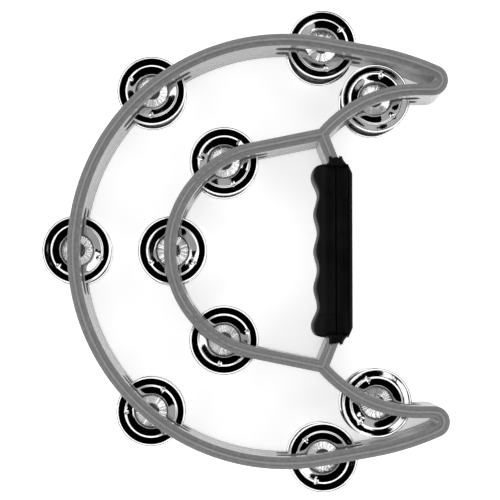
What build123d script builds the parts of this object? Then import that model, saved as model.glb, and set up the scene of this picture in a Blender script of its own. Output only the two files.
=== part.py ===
"""Crescent (half-moon) tambourine with a moulded frame, a two-shell hand grip and ten pairs of jingles.

Millimetres. The tambourine lies on its back face: Z = 0 is the flat back, +Z is the front. The origin is
the middle of the whole object's footprint. +Y runs along the grip, and +X points out of the open side, to
the tips. The frame is one closed crescent loop, an outer and an inner rim that meet in two rounded tips,
with a handle bar across the inner rim. Each jingle position has a front and a rear slot through the rim,
with one jingle in each, and one steel pin pressed in from the back carries both.
"""

import os
from math import acos, atan2, cos, degrees, radians, sin

from build123d import *

# Frame
frame_depth = 45.0
rim_wall = 7.4
ridge_height = 1.3  # the front edge rises this much from its sides to the ridge along its middle
bead_width = 1.5  # a rounded bead runs along the ridge
bead_height = 0.4
front_edge_radius = 0.8
back_edge_chamfer = 0.8

# Outer rim: a circle, then a straight shoulder and a long flare to each tip
outer_radius = 131.3  # centre line of the wall
outer_arc_end = 80.0  # degrees from +X
shoulder_length = 31.0
flare_radius = 176.0
flare_turn = 14.0  # degrees

# Tips and the inner rim's flare, which runs from each tip back to the handle joint
tip_radius = 6.0  # centre line
tip_run = 9.0
inner_flare_radius = 78.0
inner_flare_turn = 50.0  # degrees

# Inner rim: a circle, then a straight run to the handle joint
inner_radius = 64.7
inner_offset = -6.6  # from the outer circle's centre

# Handle bar and grip
bar_offset = 31.8  # from the outer circle's centre
bar_width = 8.0
strut_offset = 1.4  # each strut reaches the grip's end this far to the finger side of the bar
strut_run_on = 8.0  # how far its line runs on past the grip's end, where it is cut off flush
core_depth = 20.0  # the bar's depth inside the grip
grip_length = 108.0
grip_depth = 34.0
grip_corner_radius = 4.0
palm_reach = 10.5  # from the bar's centre line to the grip's palm side
palm_corner = 2.2
finger_corner_inset = 9.5  # from the bar's centre line to where each end of the finger side rounds over
finger_pitch = 23.4
groove_reach = 11.1  # from the bar's centre line to the bottom of a finger groove
crest_reach = 13.4
end_crest_reach = 15.0
grip_clearance = 0.1  # around the bar

# Jingles: one stamped sheet each, a cup, a gently rising ring, a step, a flat ring and a raised edge
jingle_radius = 21.6
jingle_height = 6.0
jingle_sheet = 0.6
jingle_play = 1.45  # between the pin and the jingle's hole, all round
cup_floor_radius = 5.2
cup_radius = 10.8
cup_depth = 3.9
step_radius = 15.6
step_run = 0.9
step_rise = 0.7
edge_width = 1.1
edge_rise = 0.4

# Slots and pins
slot_end_gap = 5.9  # from the jingle's edge to the end of the slot
slot_bar = 6.0  # solid bar between the front and the rear slot
slot_overcut = 2.0  # how far a slot's cutter runs past the wall
jingle_travel = 2.9  # along the pin
rest_gap = 0.3  # air left under a jingle at rest and above it at the end of its travel
pin_radius = 1.25
pin_clearance = 0.1
pin_socket_depth = 6.0  # blind hole in the front lip
pin_press = 0.03  # the socket's radius is this much under the pin's
pin_head_radius = 2.3
pin_head_height = 1.2
pin_head_recess = 0.3

# Pin positions, in degrees from +X about the centre of the rim's curve
outer_pin_angles = [80, 130, 180, 230, 280]
inner_pin_angles = [120, 180, 240]
tip_pin_angle = 109.8  # on the inner rim's flare, and its mirror image


def half_loop(x0):
    """The crescent's centre line from its far left, round the upper tip, to the upper handle joint."""
    with BuildLine() as path:
        rim = CenterArc((x0, 0), outer_radius, 180, outer_arc_end - 180)
        shoulder = Line(rim @ 1, rim @ 1 + (rim % 1) * shoulder_length)
        flare = JernArc(shoulder @ 1, shoulder % 1, flare_radius, -flare_turn)
        heading = outer_arc_end - 90 - flare_turn
        tip = JernArc(flare @ 1, flare % 1, tip_radius, -(180 + heading))
        run = Line(tip @ 1, tip @ 1 + (tip % 1) * tip_run)
        JernArc(run @ 1, run % 1, inner_flare_radius, inner_flare_turn)
    return path


# The origin is the middle of the footprint, which runs from the leftmost jingle to the tips.
tip_reach = half_loop(0).line.bounding_box().max.X + rim_wall / 2
centre_x = (outer_radius + jingle_radius - tip_reach) / 2
inner_x = centre_x + inner_offset
bar_x = centre_x + bar_offset
loop_path = half_loop(centre_x)
flare_centre = loop_path.edges()[-1].arc_center
joint = loop_path.line @ 1


def section_plane(point, heading):
    """An upright plane across a path, with its x axis to the path's left and its y axis up."""
    return Plane(origin=point, x_dir=(-heading.Y, heading.X, 0), z_dir=heading)


def positions():
    """Every jingle position: its name, the centre and radius of the rim's curve there, and its angle."""
    places = []
    for number, angle in enumerate(outer_pin_angles, 1):
        places.append((f"outer_{number}", Vector(centre_x, 0), outer_radius, angle))
    inner = [(flare_centre, inner_flare_radius, tip_pin_angle)]
    inner += [(Vector(inner_x, 0), inner_radius, angle) for angle in inner_pin_angles]
    inner += [(Vector(flare_centre.X, -flare_centre.Y), inner_flare_radius, -tip_pin_angle)]
    for number, (centre, radius, angle) in enumerate(inner, 1):
        places.append((f"inner_{number}", centre, radius, angle))
    return places


# Slots: room for a jingle and its travel, at equal heights from the middle of the frame's depth
slot_length = 2 * (jingle_radius + slot_end_gap)
slot_height = jingle_height + jingle_travel + 2 * rest_gap
mid_height = frame_depth / 2
rear_slot_z = mid_height - (slot_bar + slot_height) / 2
front_slot_z = mid_height + (slot_bar + slot_height) / 2
front_lip_z = front_slot_z + slot_height / 2

# Section of the frame's wall: a flat back with broken edges, rounded front edges and a bead on the ridge
with BuildSketch() as wall:
    side = rim_wall / 2
    with BuildLine():
        outline = Polyline(
            (bead_width / 2, frame_depth - bead_height),
            (side, frame_depth - ridge_height),
            (side, back_edge_chamfer),
            (side - back_edge_chamfer, 0),
            (-side + back_edge_chamfer, 0),
            (-side, back_edge_chamfer),
            (-side, frame_depth - ridge_height),
            (-bead_width / 2, frame_depth - bead_height),
        )
        ThreePointArc(outline @ 1, (0, frame_depth), outline @ 0)
    make_face()
    fillet(vertices().group_by(Axis.Y)[-2], front_edge_radius)

# Frame: the upper half of the crescent loop, of the inner rim and its strut, and their mirror images
with BuildPart() as crescent:
    with BuildLine():
        add(loop_path.line)
    with BuildSketch(section_plane(loop_path.line @ 0, loop_path.line % 0)):
        add(wall.sketch)
    sweep(path=loop_path.wires()[0])

reach_to_joint = joint - Vector(inner_x, 0)
joint_angle = degrees(atan2(reach_to_joint.Y, reach_to_joint.X))
tangent_angle = joint_angle + degrees(acos(inner_radius / reach_to_joint.length))
with BuildPart() as inner_rim:
    with BuildLine() as inner_path:
        inner_arc = CenterArc((inner_x, 0), inner_radius, 180, tangent_angle - 180)
        Line(inner_arc @ 1, joint)
    with BuildSketch(section_plane(inner_path.line @ 0, inner_path.line % 0)):
        add(wall.sketch)
    sweep(path=inner_path.wires()[0])

grip_end = grip_length / 2
with BuildPart() as strut:
    with BuildLine() as strut_path:
        strut_end = Vector(bar_x - strut_offset, grip_end)
        Line(joint, strut_end + (strut_end - joint).normalized() * strut_run_on)
    with BuildSketch(section_plane(strut_path.line @ 0, strut_path.line % 0)):
        add(wall.sketch)
    sweep(path=strut_path.wires()[0])
    split(bisect_by=Plane.XZ.offset(-grip_end), keep=Keep.BOTTOM)

with BuildPart() as joint_boss:
    with BuildSketch(Plane.XZ.offset(-joint.Y).shift_origin((joint.X, joint.Y, 0))):
        add(wall.sketch)
        split(bisect_by=Plane.YZ)
    revolve(axis=Axis((joint.X, joint.Y, 0), (0, 0, 1)))

with BuildPart() as frame:
    for piece in (crescent, inner_rim, strut, joint_boss):
        add(piece.part)
    mirror(about=Plane.XZ)
    with Locations((bar_x, 0, mid_height)):
        Box(bar_width, grip_length, core_depth)
    for name, centre, radius, angle in positions():
        along = Vector(cos(radians(angle)), sin(radians(angle)))
        pin = centre + along * radius
        sagitta = radius - (radius**2 - (slot_length / 2) ** 2) ** 0.5
        inward = rim_wall / 2 + sagitta + slot_overcut
        outward = rim_wall / 2 + slot_overcut
        for height in (rear_slot_z, front_slot_z):
            start = pin - along * inward + Vector(0, 0, height)
            with BuildSketch(Plane(origin=start, x_dir=(-along.Y, along.X, 0), z_dir=along)):
                SlotOverall(slot_length, slot_height)
            extrude(amount=inward + outward, mode=Mode.SUBTRACT)
        with Locations(Plane(origin=pin, z_dir=(0, 0, -1))):
            CounterBoreHole(
                radius=pin_radius + pin_clearance,
                counter_bore_radius=pin_head_radius + pin_clearance,
                counter_bore_depth=pin_head_height + pin_head_recess,
                depth=front_lip_z,
            )
        with Locations(Plane(origin=pin + Vector(0, 0, front_lip_z), z_dir=(0, 0, -1))):
            Hole(radius=pin_radius - pin_press, depth=pin_socket_depth)

# Grip: two half shells that close round the bar and meet on its centre plane
grip_low = mid_height - grip_depth / 2

with BuildPart() as bar_space:
    with Locations((bar_x, 0, mid_height)):
        Box(bar_width + 2 * grip_clearance, grip_length, core_depth + 2 * grip_clearance)

with BuildPart() as finger_grip:
    with BuildSketch(Plane.XY.offset(grip_low)):
        with BuildLine():
            points = [(bar_x - end_crest_reach, 2 * finger_pitch)]
            for half_pitches in range(3, -4, -1):
                reach = groove_reach if half_pitches % 2 else crest_reach
                points.append((bar_x - reach, half_pitches * finger_pitch / 2))
            points.append((bar_x - end_crest_reach, -2 * finger_pitch))
            fingers = Spline(*points, tangents=[(0, -1), (0, -1)])
            corner_x = bar_x - finger_corner_inset
            low_corner = TangentArc(fingers @ 1, (corner_x, -grip_end), tangent=fingers % 1)
            high_corner = TangentArc(fingers @ 0, (corner_x, grip_end), tangent=(0, 1))
            Polyline(low_corner @ 1, (bar_x, -grip_end), (bar_x, grip_end), high_corner @ 1)
        make_face()
    extrude(amount=grip_depth)
    with BuildSketch(Plane.XZ.offset(-grip_end)):
        with Locations((bar_x - end_crest_reach, mid_height)):
            Rectangle(2 * end_crest_reach, grip_depth, align=(Align.MIN, Align.CENTER))
        fillet(vertices().group_by(Axis.X)[0], grip_corner_radius)
    extrude(amount=grip_length, mode=Mode.INTERSECT)
    add(bar_space.part, mode=Mode.SUBTRACT)

with BuildPart() as palm_grip:
    with BuildSketch(Plane.XY.offset(grip_low)):
        with Locations((bar_x, 0)):
            Rectangle(palm_reach, grip_length, align=(Align.MIN, Align.CENTER))
        chamfer(vertices().group_by(Axis.X)[-1], palm_corner)
    extrude(amount=grip_depth)
    chamfer(edges().filter_by(Axis.Y).group_by(Axis.X)[-1], palm_corner)
    add(bar_space.part, mode=Mode.SUBTRACT)


def jingle_section():
    """Half the jingle's section, with the foot of its cup at zero height and its hollow side up."""
    hole_radius = pin_radius + jingle_play
    step_outer = step_radius + step_run
    flat = jingle_height - edge_rise - step_rise
    rim = jingle_height - edge_rise
    top = [
        (hole_radius, jingle_sheet),
        (cup_floor_radius, jingle_sheet),
        (cup_radius, jingle_sheet + cup_depth),
        (step_radius, flat),
        (step_outer, rim),
        (jingle_radius - edge_width, rim),
        (jingle_radius, jingle_height),
    ]
    bottom = [(radius, height - jingle_sheet) for radius, height in reversed(top)]
    Polyline(*top, *bottom, close=True)


with BuildPart() as jingle:
    with BuildSketch(Plane.XZ):
        with BuildLine():
            jingle_section()
        make_face()
    revolve(axis=Axis.Z)

with BuildPart() as pin_shape:
    with BuildSketch(Plane.XY.offset(pin_head_recess)):
        Circle(pin_head_radius)
    extrude(amount=pin_head_height)
    with BuildSketch(Plane.XY.offset(pin_head_recess)):
        Circle(pin_radius)
    extrude(amount=front_lip_z + pin_socket_depth - pin_head_recess)

# At rest each jingle lies at the low end of its slot: the rear one on its edge, the front one on its cup.
rear_rest_z = rear_slot_z - slot_height / 2 + rest_gap
front_rest_z = front_slot_z - slot_height / 2 + rest_gap

os.makedirs("parts", exist_ok=True)
for name, piece in (("frame", frame), ("finger_grip", finger_grip), ("palm_grip", palm_grip)):
    piece.part.label = name
    export_step(piece.part, f"parts/{name}.step")

for name, centre, radius, angle in positions():
    place = centre + Vector(cos(radians(angle)), sin(radians(angle))) * radius
    with BuildPart(Plane(place + Vector(0, 0, front_rest_z))) as front_jingle:
        add(jingle.part)
    rear_foot = place + Vector(0, 0, rear_rest_z + jingle_height)
    with BuildPart(Plane(rear_foot, z_dir=(0, 0, -1))) as rear_jingle:
        add(jingle.part)
    with BuildPart(Plane(place)) as pin:
        add(pin_shape.part)
    pieces = {"front_jingle": front_jingle, "rear_jingle": rear_jingle, "pin": pin}
    for kind, piece in pieces.items():
        piece.part.label = f"{kind}_{name}"
        export_step(piece.part, f"parts/{kind}_{name}.step")
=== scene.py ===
"""Looks of the crescent tambourine: grey moulded frame, black grip in two shells and twenty jingles."""
import math
import random

import bpy
from mathutils import Matrix, Vector


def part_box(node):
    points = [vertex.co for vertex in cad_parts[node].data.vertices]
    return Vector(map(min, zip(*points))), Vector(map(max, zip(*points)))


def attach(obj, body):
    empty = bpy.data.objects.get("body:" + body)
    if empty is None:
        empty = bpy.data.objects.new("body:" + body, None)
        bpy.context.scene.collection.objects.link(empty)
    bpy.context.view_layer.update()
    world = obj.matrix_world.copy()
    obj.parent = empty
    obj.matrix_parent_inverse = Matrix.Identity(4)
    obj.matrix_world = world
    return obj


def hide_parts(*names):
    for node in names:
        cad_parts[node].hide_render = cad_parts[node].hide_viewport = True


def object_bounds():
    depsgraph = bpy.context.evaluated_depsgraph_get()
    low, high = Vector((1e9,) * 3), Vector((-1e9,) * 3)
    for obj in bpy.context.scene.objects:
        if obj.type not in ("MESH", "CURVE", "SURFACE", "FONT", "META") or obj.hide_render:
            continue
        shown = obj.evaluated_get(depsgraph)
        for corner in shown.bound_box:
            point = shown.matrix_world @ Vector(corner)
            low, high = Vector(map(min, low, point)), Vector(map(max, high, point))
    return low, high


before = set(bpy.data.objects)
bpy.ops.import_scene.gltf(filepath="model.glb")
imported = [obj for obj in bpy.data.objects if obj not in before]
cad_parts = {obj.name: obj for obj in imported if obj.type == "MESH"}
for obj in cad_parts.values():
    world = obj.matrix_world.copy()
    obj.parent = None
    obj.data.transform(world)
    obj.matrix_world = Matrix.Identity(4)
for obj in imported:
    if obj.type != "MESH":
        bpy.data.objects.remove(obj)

MM = 0.001
cad_low, cad_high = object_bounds()
ROOT = "tambourine_frame"
BOX_DISTANCE = 1.25  # from the middle of the floor to each soft box, in metres


# ---------------------------------------------------------------- mesh helpers
def new_piece(name, verts, faces, material, body):
    """A mesh piece that rides on a CAD body."""
    mesh = bpy.data.meshes.new(name)
    mesh.from_pydata(verts, [], faces)
    mesh.validate()
    mesh.shade_smooth()
    piece = bpy.data.objects.new(name, mesh)
    bpy.context.collection.objects.link(piece)
    mesh.materials.append(material)
    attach(piece, body)
    return piece


def ring_faces(rings, around, first=0):
    """Quads between neighbouring closed rings of vertices."""
    faces = []
    for ring in range(rings - 1):
        for step in range(around):
            after = (step + 1) % around
            low = first + ring * around
            high = low + around
            faces.append((low + step, low + after, high + after, high + step))
    return faces


def smooth_step(low, high, x):
    t = min(1.0, max(0.0, (x - low) / (high - low)))
    return t * t * (3 - 2 * t)


# ---------------------------------------------------------------- material helpers
class Nodes:
    """A material's node tree, with short ways to add and link nodes."""

    def __init__(self, name):
        self.material = bpy.data.materials.new(name)
        self.material.use_nodes = True
        self.tree = self.material.node_tree
        self.shader = self.tree.nodes["Principled BSDF"]
        self.place = self.add("ShaderNodeTexCoord").outputs["Object"]

    def add(self, kind, **settings):
        node = self.tree.nodes.new(kind)
        for key, value in settings.items():
            setattr(node, key, value)
        return node

    def link(self, out, socket):
        self.tree.links.new(out, socket)

    def noise(self, scale, detail=4.0, roughness=0.55, place=None):
        node = self.add("ShaderNodeTexNoise")
        node.inputs["Scale"].default_value = scale
        node.inputs["Detail"].default_value = detail
        node.inputs["Roughness"].default_value = roughness
        self.link(place or self.place, node.inputs["Vector"])
        return node.outputs["Fac"]

    def stretched(self, scale):
        node = self.add("ShaderNodeMapping")
        node.inputs["Scale"].default_value = scale
        self.link(self.place, node.inputs["Vector"])
        return node.outputs["Vector"]

    def remap(self, value, low, high, to_low, to_high):
        node = self.add("ShaderNodeMapRange")
        sockets = ("From Min", "From Max", "To Min", "To Max")
        for socket, number in zip(sockets, (low, high, to_low, to_high)):
            node.inputs[socket].default_value = number
        self.link(value, node.inputs["Value"])
        return node.outputs["Result"]

    def math(self, operation, first, second):
        node = self.add("ShaderNodeMath", operation=operation)
        for socket, value in zip(node.inputs, (first, second)):
            if isinstance(value, (int, float)):
                socket.default_value = value
            else:
                self.link(value, socket)
        return node.outputs[0]

    def mix(self, factor, first, second):
        node = self.add("ShaderNodeMix", data_type="RGBA")
        self.link(factor, node.inputs["Factor"])
        for socket, value in zip((node.inputs[6], node.inputs[7]), (first, second)):
            if isinstance(value, tuple):
                socket.default_value = value
            else:
                self.link(value, socket)
        return node.outputs[2]

    def bump(self, height, strength, distance, before=None):
        node = self.add("ShaderNodeBump")
        node.inputs["Strength"].default_value = strength
        node.inputs["Distance"].default_value = distance
        self.link(height, node.inputs["Height"])
        if before:
            self.link(before, node.inputs["Normal"])
        return node.outputs["Normal"]

    def edge_wear_and_highlight(self, low, high):
        """1 where the surface is convex, as on edges that show wear and catch a highlight."""
        geometry = self.add("ShaderNodeNewGeometry")
        return self.remap(geometry.outputs["Pointiness"], low, high, 0.0, 1.0)

    def finish(self, color, roughness, normal, **constants):
        self.link(color, self.shader.inputs["Base Color"])
        self.link(roughness, self.shader.inputs["Roughness"])
        self.link(normal, self.shader.inputs["Normal"])
        for key, value in constants.items():
            self.shader.inputs[key.replace("_", " ")].default_value = value
        return self.material


def grey(value):
    return (value, value, value, 1.0)


def frame_plastic():
    """Mid-grey satin moulding, mottled and scuffed, with light and shade painted in: a painted highlight
    on the ridge, walls painted lighter, a painted shade line at the ridge's foot, edges lighter from wear
    and a painted highlight, and a painted shadow along the back edge.
    """
    n = Nodes("frame_plastic")
    cloud = n.noise(14.0, 5.0)
    mottle = n.noise(420.0, 5.0, 0.65)
    grain = n.noise(1800.0, 3.0)
    scuffs = n.noise(60.0, 8.0, 0.7, n.stretched((1.0, 1.0, 7.0)))
    height = n.add("ShaderNodeSeparateXYZ")
    n.link(n.place, height.inputs[0])
    z = height.outputs["Z"]
    front = cad_high.z
    base = n.mix(n.remap(cloud, 0.35, 0.65, 0.0, 1.0), grey(0.118), grey(0.131))
    base = n.mix(n.remap(mottle, 0.42, 0.66, 0.0, 0.75), base, grey(0.172))
    # Scuff mask: patchy strength for the edge wear and for the painted highlight on the ridge.
    rub_and_sheen = n.remap(scuffs, 0.30, 0.62, 0.45, 1.0)
    # Painted highlight: the top 0.2 mm of the ridge is painted lighter.
    ridge = n.math("MULTIPLY", n.remap(z, front - 0.00020, front - 0.00005, 0.0, 1.0), rub_and_sheen)
    geometry = n.add("ShaderNodeNewGeometry")
    facing = n.add("ShaderNodeSeparateXYZ")
    n.link(geometry.outputs["Normal"], facing.inputs[0])
    # Painted light: upright faces such as the walls are painted lighter, as though lit from the sides.
    wall = n.remap(n.math("ABSOLUTE", facing.outputs["Z"], 0.0), 0.25, 0.5, 1.0, 0.0)
    base = n.mix(n.math("MULTIPLY", wall, 0.55), base, grey(0.42))
    color = n.mix(ridge, base, grey(0.235))
    # Painted shade: a darker line in the crease at the foot of the ridge.
    foot = n.math("MULTIPLY", n.remap(z, front - 0.00085, front - 0.00055, 0.0, 1.0),
                  n.remap(z, front - 0.00046, front - 0.00036, 1.0, 0.0))
    color = n.mix(n.math("MULTIPLY", foot, 0.35), color, grey(0.070))
    # Painted shadow: the frame darkens to near black below 1.5 mm from the back, fading out by 4 mm.
    back_edge_shadow = n.remap(z, 0.0015, 0.0040, 0.95, 0.0)
    color = n.mix(back_edge_shadow, color, grey(0.02))
    # Convex edges painted lighter: partly wear, partly a painted highlight.
    wear_and_edge_highlight = n.math("MULTIPLY", n.edge_wear_and_highlight(0.54, 0.64), rub_and_sheen)
    color = n.mix(n.math("MULTIPLY", wear_and_edge_highlight, 0.35), color, grey(0.21))
    rough = n.math("ADD", n.remap(scuffs, 0.35, 0.7, 0.20, 0.32), n.remap(cloud, 0.3, 0.7, -0.02, 0.03))
    normal = n.bump(grain, 0.12, 0.0002)
    normal = n.bump(mottle, 0.10, 0.0004, normal)
    return n.finish(color, rough, normal, Specular_IOR_Level=0.5)


def grip_rubber():
    """Black grip plastic: fine grain, with a cloudy change of tone and shine where hands have rubbed it.
    """
    n = Nodes("grip_rubber")
    grain = n.noise(2600.0, 4.0, 0.6)
    rub_and_sheen = n.noise(38.0, 6.0)
    color = n.mix(n.remap(rub_and_sheen, 0.35, 0.7, 0.0, 1.0), grey(0.0012), grey(0.004))
    rough = n.remap(rub_and_sheen, 0.3, 0.7, 0.30, 0.46)
    normal = n.bump(grain, 0.25, 0.0002)
    return n.finish(color, rough, normal, Specular_IOR_Level=0.07)


def jingle_metal():
    """Bright nickel plate over a stamping: smudges, small ripples, and a dented, pitted cup."""
    n = Nodes("jingle_metal")
    smudge = n.noise(90.0, 5.0, 0.6)
    ripple = n.noise(260.0, 2.0)
    dents = n.noise(520.0, 4.0, 0.6)
    radius = n.add("ShaderNodeVectorMath", operation="LENGTH")
    n.link(n.stretched((1.0, 1.0, 0.0)), radius.inputs[0])
    cup = n.remap(radius.outputs["Value"], 0.0096, 0.0106, 1.0, 0.0)
    color = n.mix(n.remap(smudge, 0.35, 0.7, 0.0, 1.0), grey(0.92), grey(0.80))
    near_hole = n.remap(radius.outputs["Value"], 0.005, 0.009, 1.0, 0.1)
    pits = n.math("MULTIPLY", n.remap(dents, 0.60, 0.68, 0.0, 0.8), near_hole)
    color = n.mix(n.math("MULTIPLY", pits, cup), color, grey(0.25))
    rough = n.remap(smudge, 0.4, 0.75, 0.02, 0.08)
    normal = n.bump(ripple, 0.06, 0.0003)
    normal = n.bump(n.math("MULTIPLY", dents, cup), 0.28, 0.0004, normal)
    return n.finish(color, rough, normal, Metallic=1.0)


def rubbed_and_shaded_metal():
    """The convex backs of the front jingles, dulled where each pair strikes together and painted dark as
    painted shade in the narrow gap between the pair.
    """
    n = Nodes("rubbed_and_shaded_metal")
    smudge = n.noise(140.0, 6.0, 0.65)
    # Painted shade: the dark colour stands for the shade between each pair.
    color = n.mix(n.remap(smudge, 0.35, 0.7, 0.0, 1.0), grey(0.16), grey(0.07))
    rough = n.remap(smudge, 0.3, 0.7, 0.16, 0.34)
    return n.finish(color, rough, n.bump(smudge, 0.08, 0.0002), Metallic=1.0)


def pin_steel():
    """Drawn steel wire with fine lines along it."""
    n = Nodes("pin_steel")
    lines = n.noise(500.0, 4.0, 0.6, n.stretched((6.0, 6.0, 0.3)))
    color = n.mix(n.remap(lines, 0.35, 0.7, 0.0, 1.0), grey(0.55), grey(0.38))
    rough = n.remap(lines, 0.3, 0.7, 0.22, 0.4)
    normal = n.bump(lines, 0.2, 0.0001)
    return n.finish(color, rough, normal, Metallic=1.0)


PLASTIC = frame_plastic()
RUBBER = grip_rubber()
NICKEL = jingle_metal()
RUBBED_AND_SHADED = rubbed_and_shaded_metal()
STEEL = pin_steel()


def paint_node(name, material):
    """Gives a CAD node that stays in view its material."""
    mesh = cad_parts[name].data
    mesh.materials.clear()
    mesh.materials.append(material)


# ---------------------------------------------------------------- jingles
JINGLE_STEPS = 216
JINGLE_RADIUS = 21.6
JINGLE_SHEET = 0.5  # thickness, in mm
JINGLE_SHAPES = 4
CRIMPS = 44
NOTCHES = 3

HOLE_RADIUS = 2.7
FOOT_HEIGHT = 0.6
# The jingle's creases, from the hole outwards: radius in mm, and the slope of the sheet beyond it
CREASES = (
    (4.9, 0.68),  # side of the cup
    (10.75, 0.13),  # gently rising ring
    (15.5, 0.44),  # step
    (16.5, -0.02),  # flat ring
    (20.45, 0.47),  # raised edge
    (21.3, 0.0),
)
CREASE_ROUND = 0.25
RING_GAP = 0.9

# The front jingles all hang the same way off their pins, in mm, give or take a little
HANG_X, HANG_Y, HANG_SCATTER = 1.0, 0.5, 0.3

# Where the first of each jingle's three pressed notches lies, in degrees from +X
NOTCH_ANGLES = {
    "outer_1": 280, "outer_2": 269, "outer_3": 100, "outer_4": 182, "outer_5": 15,
    "inner_1": 75, "inner_2": 172, "inner_3": 90, "inner_4": 260, "inner_5": 350,
}


def sheet_height(radius):
    """Height of the hollow side's surface above the foot: straight runs with rounded creases."""
    height, slope = FOOT_HEIGHT, 0.0
    for crease, beyond in CREASES:
        past = radius - crease
        height += (beyond - slope) * (past + math.hypot(past, CREASE_ROUND)) / 2
        slope = beyond
    return height


def jingle_profile():
    """Radius and height of the hollow side from hole to edge, close together round each crease."""
    marks = {HOLE_RADIUS, JINGLE_RADIUS}
    for crease, _ in CREASES:
        marks |= {crease + aside for aside in (-0.35, -0.15, 0.0, 0.15, 0.35)}
    marks = sorted(mark for mark in marks if HOLE_RADIUS <= mark <= JINGLE_RADIUS)
    radii = [marks[0]]
    for mark in marks[1:]:
        start = radii[-1]
        parts = math.ceil((mark - start) / RING_GAP)
        radii += [start + (mark - start) * part / parts for part in range(1, parts + 1)]
    return [(radius, sheet_height(radius)) for radius in radii]


def jingle_mesh(name, seed):
    """A stamped jingle, hollow side up: crimped cup, stepped rings, three pressed notches, raised edge."""
    draw = random.Random(seed)
    deep = 0.25 + 0.25 * seed
    crimps = [
        ((i + draw.uniform(-0.35, 0.35)) * math.tau / CRIMPS, deep * draw.random() ** 1.6)
        for i in range(CRIMPS)
    ]
    lobes = [(count, draw.uniform(0, math.tau), draw.uniform(0.5, 1.0)) for count in (2, 3, 5, 7)]
    profile = jingle_profile()
    last = len(profile) - 1

    def crimp(turn):
        """0 between the crimps and up to 1 in the middle of one."""
        nearest = crimps[round(turn / math.tau * CRIMPS) % CRIMPS]
        away = (turn - nearest[0] + math.pi) % math.tau - math.pi
        return nearest[1] * math.exp(-((away * CRIMPS / 0.95) ** 2))

    def warp(turn):
        return sum(size * math.sin(count * turn + start) for count, start, size in lobes) / len(lobes)

    turns = [step * math.tau / JINGLE_STEPS for step in range(JINGLE_STEPS)]
    rows = [(crimp(turn), warp(turn)) for turn in turns]

    def height_at(radius, height, step):
        turn = step * math.tau / JINGLE_STEPS
        in_cup = smooth_step(3.4, 5.2, radius) * (1 - smooth_step(9.2, 10.7, radius))
        height -= 0.22 * in_cup * rows[step][0]
        height += 0.13 * rows[step][1] * smooth_step(10.0, 18.0, radius)
        for notch in range(NOTCHES):
            away = (turn - notch * math.tau / NOTCHES + math.pi) % math.tau - math.pi
            across = away * radius / 0.75
            if abs(across) < 3:
                height -= 0.55 * math.exp(-(across**2) - ((radius - 15.2) / 1.3) ** 2)
        return height

    verts = []
    for side in (0, 1):
        for i, (radius, height) in enumerate(profile):
            r0, h0 = profile[max(i - 1, 0)]
            r1, h1 = profile[min(i + 1, last)]
            length = math.hypot(r1 - r0, h1 - h0)
            thick = side * JINGLE_SHEET
            out = radius + thick * (h1 - h0) / length
            drop = thick * (r1 - r0) / length
            for step in range(JINGLE_STEPS):
                turn = step * math.tau / JINGLE_STEPS
                z = height_at(radius, height, step) - drop
                verts.append(Vector((out * math.cos(turn), out * math.sin(turn), z)) * MM)
    rings = len(profile)
    under = rings * JINGLE_STEPS
    faces = ring_faces(rings, JINGLE_STEPS)
    faces += [face[::-1] for face in ring_faces(rings, JINGLE_STEPS, under)]
    for step in range(JINGLE_STEPS):
        after = (step + 1) % JINGLE_STEPS
        outer = last * JINGLE_STEPS
        faces.append((after, step, under + step, under + after))
        faces.append((outer + step, outer + after, under + outer + after, under + outer + step))
    mesh = bpy.data.meshes.new(name)
    mesh.from_pydata(verts, [], faces)
    mesh.validate()
    mesh.shade_smooth()
    mesh.set_sharp_from_angle(angle=math.radians(50))
    mesh.materials.append(NICKEL)
    # The convex side's faces take this second slot: dulled metal with painted shade.
    mesh.materials.append(RUBBED_AND_SHADED)
    bright = (rings - 1) * JINGLE_STEPS
    for face in mesh.polygons:
        face.material_index = 1 if bright <= face.index < 2 * bright else 0
    return mesh


def add_jingles():
    """One detailed jingle over each CAD jingle, turned by its own angle about its pin."""
    turns = random.Random(7)
    shapes = [jingle_mesh(f"jingle_sheet_{seed}", seed) for seed in range(JINGLE_SHAPES)]
    for name in sorted(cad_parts):
        if "jingle" not in name:
            continue
        low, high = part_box(name)
        middle = (Vector(low) + Vector(high)) / 2
        jingle = bpy.data.objects.new(name + "_sheet", turns.choice(shapes))
        bpy.context.collection.objects.link(jingle)
        aside = Matrix.Rotation(turns.uniform(0, math.tau), 4, "Z")
        lean = aside @ Matrix.Rotation(math.radians(turns.uniform(0.1, 0.6)), 4, "X") @ aside.inverted()
        if name.startswith("front"):
            place = name.removeprefix("front_jingle_")
            spin = Matrix.Rotation(math.radians(NOTCH_ANGLES[place]), 4, "Z")
            foot = Vector((middle.x + (HANG_X + turns.uniform(-1, 1) * HANG_SCATTER) * MM,
                           middle.y + (HANG_Y + turns.uniform(-1, 1) * HANG_SCATTER) * MM, low[2]))
            jingle.matrix_world = Matrix.Translation(foot) @ lean @ spin
        else:
            spin = Matrix.Rotation(math.radians(turns.uniform(-15, 15)), 4, "Z")
            flip = Matrix.Rotation(math.pi, 4, "X")
            foot = Vector((middle.x + turns.uniform(0, 0.6) * MM,
                           middle.y - turns.uniform(0, 0.5) * MM, high[2]))
            jingle.matrix_world = Matrix.Translation(foot) @ lean @ flip @ spin
            # The rear jingles' convex sides face the front, so they keep plain nickel without the painted
            # shade.
            jingle.material_slots[1].link = "OBJECT"
            jingle.material_slots[1].material = NICKEL
        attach(jingle, name + "_body")
        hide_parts(name)


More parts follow.
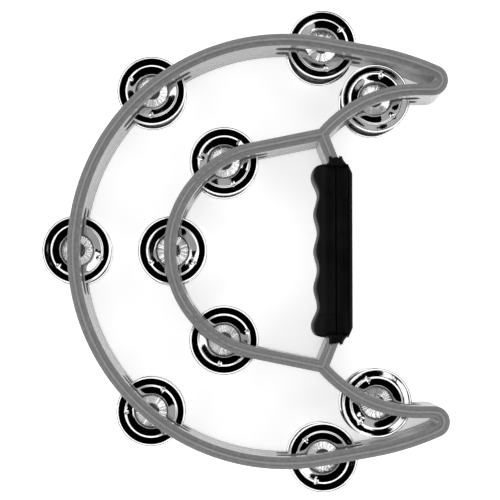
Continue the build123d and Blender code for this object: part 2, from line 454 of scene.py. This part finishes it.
# ---------------------------------------------------------------- grip
def add_grip():
    """The two grip shells as lofts along Y, and a torn rubber neck round each strut."""
    finger_low, finger_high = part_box("finger_grip")
    palm_low, palm_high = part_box("palm_grip")
    seam_x = finger_high[0] / MM
    half_length = finger_high[1] / MM
    mid_z = (finger_low[2] + finger_high[2]) / 2 / MM
    half_depth = (finger_high[2] - finger_low[2]) / 2 / MM
    end_crest = seam_x - finger_low[0] / MM
    palm_side = palm_high[0] / MM - seam_x
    pitch, groove, crest = 23.4, 11.1, 13.4
    last_groove, last_crest = 1.5 * pitch, 2 * pitch

    def finger_reach(y):
        """How far the finger side stands out from the seam: four grooves between five crests."""
        away = abs(y)
        if away < last_groove:
            return (groove + crest) / 2 + (crest - groove) / 2 * math.cos(math.tau * away / pitch)
        if away < last_crest:
            return groove + (end_crest - groove) * smooth_step(last_groove, last_crest, away)
        run = min(1.0, (away - last_crest) / (half_length - last_crest))
        return 9.2 + (end_crest - 9.2) * math.sqrt(max(0.0, 1 - run**2.2))

    def palm_reach(y):
        """The palm side is straight, with long chamfers at both ends."""
        return palm_side - 2.6 * max(0.0, (abs(y) - (half_length - 6.0)) / 6.0) ** 1.1

    def end_height(y):
        """How much of the shell's depth is left as its ends round over."""
        run = max(0.0, (abs(y) - (half_length - 3.0)) / 3.0)
        return half_depth - 2.2 * run**2

    def loft(name, section, stations):
        verts, rings = [], []
        for y in stations:
            ring = section(y)
            rings.append(len(ring))
            verts += [Vector((seam_x + x, y, mid_z + z)) * MM for x, z in ring]
        around = rings[0]
        faces = ring_faces(len(stations), around)
        faces.append(tuple(reversed(range(around))))
        faces.append(tuple(range(len(verts) - around, len(verts))))
        piece = new_piece(name, verts, faces, RUBBER, ROOT)
        bevel = piece.modifiers.new("edges", "BEVEL")
        bevel.width, bevel.segments, bevel.angle_limit = 0.35 * MM, 2, math.radians(38)
        bevel.limit_method = "ANGLE"
        return piece

    def finger_section(y):
        """From the seam on the front, over the flat band and round the side, to the seam on the back."""
        reach, depth = finger_reach(y), end_height(y)
        splay = 1.8 * smooth_step(38, 52, -y)
        band = min(8.0 + splay, reach - 1.2)
        mark = 0.45 if abs(abs(y) - 40.2) < 0.5 else 0.0
        front = [(-0.22, depth - 0.9), (-0.55, depth - 0.1), (-0.9, depth - mark),
                 (-band * 0.55, depth - mark), (-band + 0.4, depth - mark - 0.05),
                 (-band, depth - 0.35 - mark)]
        side = []
        for k in range(1, 24):
            turn = math.pi / 2 - k * math.pi / 24
            flat = abs(math.sin(turn)) ** 0.72 * (1 if turn > 0 else -1)
            side.append((-band - (reach - band) * math.cos(turn) ** 0.45, (depth - 0.35) * flat))
        back = [(x, -z) for x, z in reversed(front)]
        return front + side + back

    def palm_section(y):
        """From the seam on the back, over the palm side to the recessed panel on the front."""
        reach, depth = palm_reach(y), end_height(y)
        sunk = 0.7 if -38.0 < y < 33.0 else 0.0
        front = [(0.22, depth - 0.9), (0.6, depth - 0.08), (0.95, depth), (1.25, depth - sunk),
                 (4.4, depth - sunk), (7.1, depth - sunk), (7.4, depth - 0.1), (7.7, depth - 0.7),
                 (8.0, depth - 0.1),
                 (reach - 1.9, depth - 0.1), (reach - 0.8, depth - 0.6), (reach - 0.2, depth - 1.5),
                 (reach, depth - 3.2)]
        back = [(x, -z) for x, z in reversed(front)]
        side = [(reach, (depth - 3.2) * k / 4) for k in range(3, -4, -1)]
        return (front + side + back)[::-1]

    def stations(cuts):
        ys = [-half_length + 2 * half_length * i / 144 for i in range(145)]
        for cut in cuts:
            ys = [y for y in ys if abs(y - cut) > 0.3] + [cut - 0.12, cut + 0.12]
        return sorted(ys)

    finger = loft("finger_shell", finger_section, stations((40.7, 39.7, -39.7, -40.7)))
    palm = loft("palm_shell", palm_section, stations((33.0, -38.0)))
    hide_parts("finger_grip")
    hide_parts("palm_grip")

    low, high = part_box("frame")
    strut_low, strut_high = low[2] / MM, high[2] / MM
    draw = random.Random(21)
    for side in (1, -1):
        around, levels = 96, 9
        ragged = [draw.uniform(0.0, 1.0) for _ in range(around)]
        verts = []
        for shell in (0, 1):
            for level in range(levels):
                rise = level / (levels - 1)
                for k in range(around):
                    turn = k * math.tau / around
                    edge = 2.9 + 2.2 * ragged[k] * (0.5 + 0.5 * ragged[(k * 7) % around])
                    y = half_length - 1.2 + (1.2 + edge) * rise
                    lean = 0.35 - (y - half_length) * 0.3
                    flare = 1.0 - rise
                    wide = 5.15 - 0.25 * rise + 2.2 * flare**3 - 0.45 * shell
                    c, n = math.cos(turn), math.sin(turn)
                    x = lean + wide * math.copysign(abs(c) ** 0.35, c)
                    top = strut_high + 0.55 - 0.25 * rise - 0.3 * shell
                    bottom = strut_low + 0.5 + 0.2 * shell
                    z = (top + bottom) / 2 + (top - bottom) / 2 * math.copysign(abs(n) ** 0.22, n)
                    verts.append(Vector((seam_x + x, side * y, z)) * MM)
        faces = ring_faces(levels, around)
        under = levels * around
        faces += [face[::-1] for face in ring_faces(levels, around, under)]
        for k in range(around):
            after = (k + 1) % around
            outer = (levels - 1) * around
            faces.append((after, k, under + k, under + after))
            faces.append((outer + k, outer + after, under + outer + after, under + outer + k))
        neck = new_piece("grip_neck_upper" if side > 0 else "grip_neck_lower", verts, faces, RUBBER, ROOT)


# ---------------------------------------------------------------- setting
def add_tent():
    """A white light tent all round, open and dark overhead."""
    world = bpy.data.worlds.new("tent")
    world.use_nodes = True
    tree = world.node_tree
    background = tree.nodes["Background"]
    direction = tree.nodes.new("ShaderNodeTexCoord").outputs["Generated"]
    parts = tree.nodes.new("ShaderNodeSeparateXYZ")
    tree.links.new(direction, parts.inputs[0])
    ramp = tree.nodes.new("ShaderNodeValToRGB")
    stops = ramp.color_ramp.elements
    stops[0].position, stops[0].color = 0.85, grey(1.0)
    stops[1].position, stops[1].color = 0.91, grey(0.0)
    tree.links.new(parts.outputs["Z"], ramp.inputs["Fac"])
    tree.links.new(ramp.outputs["Color"], background.inputs["Color"])
    background.inputs["Strength"].default_value = 1.45
    bpy.context.scene.world = world


def add_setting():
    """Pale floor, soft boxes overhead, and the camera over the front face."""
    floor_mat = Nodes("floor_paper")
    tone = floor_mat.noise(3.0, 3.0)
    floor_mat.finish(
        floor_mat.mix(tone, grey(0.86), grey(0.90)),
        floor_mat.remap(tone, 0.3, 0.7, 0.7, 0.8),
        floor_mat.bump(floor_mat.noise(900.0), 0.03, 0.0002),
    )
    floor_mat.shader.inputs["Emission Color"].default_value = grey(1.0)
    floor_mat.shader.inputs["Emission Strength"].default_value = 0.55
    size = 3.0
    mesh = bpy.data.meshes.new("floor")
    corners = [(-size, -size, 0), (size, -size, 0), (size, size, 0), (-size, size, 0)]
    mesh.from_pydata(corners, [], [(0, 1, 2, 3)])
    mesh.materials.append(floor_mat.material)
    floor = bpy.data.objects.new("floor", mesh)
    bpy.context.collection.objects.link(floor)

    # Soft boxes overhead: their span in degrees off the vertical along X and Y, and brightness
    for name, x_low, x_high, y_low, y_high, bright in (
        ("right_low", 8.8, 21, -10, -1, 1.3),
        ("right_high", 7.0, 20, 3, 13, 0.45),
        ("left_low", -28, -14.5, -11, 2, 0.35),
        ("left_high", -28, -15, 5, 14, 1.3),
        ("top", -6, 3, 19, 29, 0.4),
    ):
        along_x = math.tan(math.radians(x_low + x_high) / 2)
        along_y = math.tan(math.radians(y_low + y_high) / 2)
        away = Vector((along_x, along_y, 1))
        data = bpy.data.lights.new(f"soft_box_{name}", "AREA")
        data.shape = "RECTANGLE"
        data.size = BOX_DISTANCE * math.radians(x_high - x_low)
        data.size_y = BOX_DISTANCE * math.radians(y_high - y_low)
        data.energy = bright * math.pi * data.size * data.size_y
        lamp = bpy.data.objects.new(data.name, data)
        lamp.location = away.normalized() * BOX_DISTANCE
        lamp.rotation_euler = away.to_track_quat("Z", "Y").to_euler()
        bpy.context.collection.objects.link(lamp)

    add_tent()

    front = cad_high.z
    data = bpy.data.cameras.new("camera")
    data.lens, data.sensor_width = 106.9, 36.0
    camera = bpy.data.objects.new("camera", data)
    camera.location = (0.0065, -0.0383, front + 0.9165)
    forward = (Vector((0.0040, 0.0, front)) - camera.location).normalized()
    right = forward.cross(Vector((0, 1, 0))).normalized()
    camera.rotation_euler = Matrix((right, right.cross(forward), -forward)).transposed().to_euler()
    bpy.context.collection.objects.link(camera)
    bpy.context.scene.camera = camera
    bpy.context.scene.view_settings.view_transform = "Standard"


paint_node("frame", PLASTIC)
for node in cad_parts:
    if node.startswith("pin_"):
        paint_node(node, STEEL)
add_jingles()
add_grip()
add_setting()
